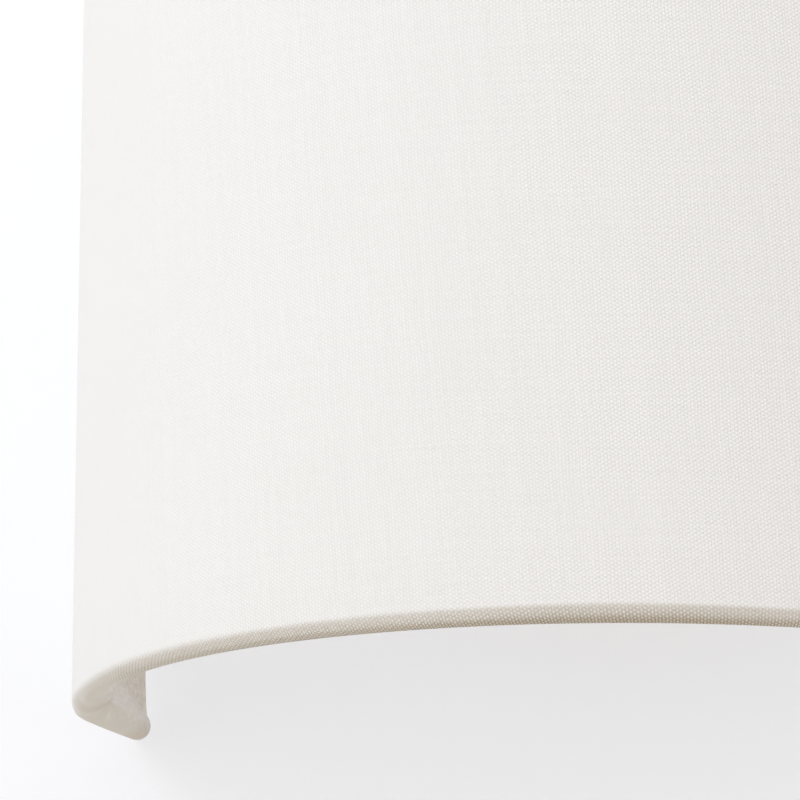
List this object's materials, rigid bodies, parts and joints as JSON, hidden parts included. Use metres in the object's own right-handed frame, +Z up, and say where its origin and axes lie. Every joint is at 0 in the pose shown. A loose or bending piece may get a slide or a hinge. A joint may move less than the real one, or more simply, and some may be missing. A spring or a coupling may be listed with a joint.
{
  "type": "wall light",
  "caption": "Wall light with a white half-drum fabric shade, open above and below, hung on a round wall canopy with one upright lamp.",
  "frame": {"origin": "middle of the wall bracket's back face, on the wall and half way up the shade", "axes": "+Z up, +Y into the wall, so the light stands out towards -Y; +X to the right of someone who faces it"},
  "size_m": [0.25, 0.1573, 0.18],
  "materials": {
    "cover_cloth": "plain-woven white cotton and polyester, matte",
    "liner_sheet": "white laminating sheet, matte",
    "frame_enamel": "white powder coat over steel wire",
    "zinc_plate": "zinc-plated steel, satin",
    "canopy_enamel": "white powder coat, satin",
    "bright_screw": "nickel-plated steel",
    "grommet_rubber": "black rubber",
    "block_nylon": "natural nylon",
    "contact_brass": "brass",
    "lead_brown": "brown insulation",
    "lead_blue": "blue insulation",
    "lead_green": "green and yellow insulation",
    "holder_white": "white moulded thermoset",
    "core_white": "white insulating core",
    "cap_metal": "nickel-plated cap",
    "tip_black": "black vitrite",
    "bulb_body": "white moulded body",
    "opal_glass": "opal white",
    "board_metal": "white-faced metal board",
    "chip_yellow": "yellow phosphor"
  },
  "bodies": {
    "fitting": {"wall_bracket": "zinc_plate", "arm_washer": "zinc_plate", "arm_nut": "zinc_plate", "canopy": "canopy_enamel", "arm_tube": "canopy_enamel", "arm_collar": "canopy_enamel", "canopy_screws": "bright_screw", "shade_pegs": "bright_screw", "block_screw": "bright_screw", "cable_grommet": "grommet_rubber", "terminal_block": "block_nylon", "terminal_screws": "contact_brass", "earth_screw": "contact_brass", "earth_lug": "contact_brass", "core_screws": "contact_brass", "screw_shell": "contact_brass", "centre_contact": "contact_brass", "live_lead": "lead_brown", "neutral_lead": "lead_blue", "earth_lead": "lead_green", "holder_base": "holder_white", "holder_sleeve": "holder_white", "lamp_core": "core_white"},
    "shade": {"shade_cover": "cover_cloth", "shade_liner": "liner_sheet", "bottom_ring": "frame_enamel", "top_ring": "frame_enamel", "left_upright": "frame_enamel", "right_upright": "frame_enamel", "hook_strap": "frame_enamel"},
    "bulb": {"bulb_cap": "cap_metal", "bulb_tip_insulator": "tip_black", "bulb_contact": "cap_metal", "bulb_collar": "bulb_body", "bulb_globe": "opal_glass", "led_board": "board_metal", "led_chips": "chip_yellow"}
  },
  "joints": [
    {"name": "shade_lift", "type": "slide", "parent": "fitting", "child": "shade", "axis": [0, 0, 1], "range_m": [0, 0.2]},
    {"name": "bulb_draw", "type": "slide", "parent": "fitting", "child": "bulb", "axis": [0, 0, 1], "range_m": [0, 0.06]}
  ]
}
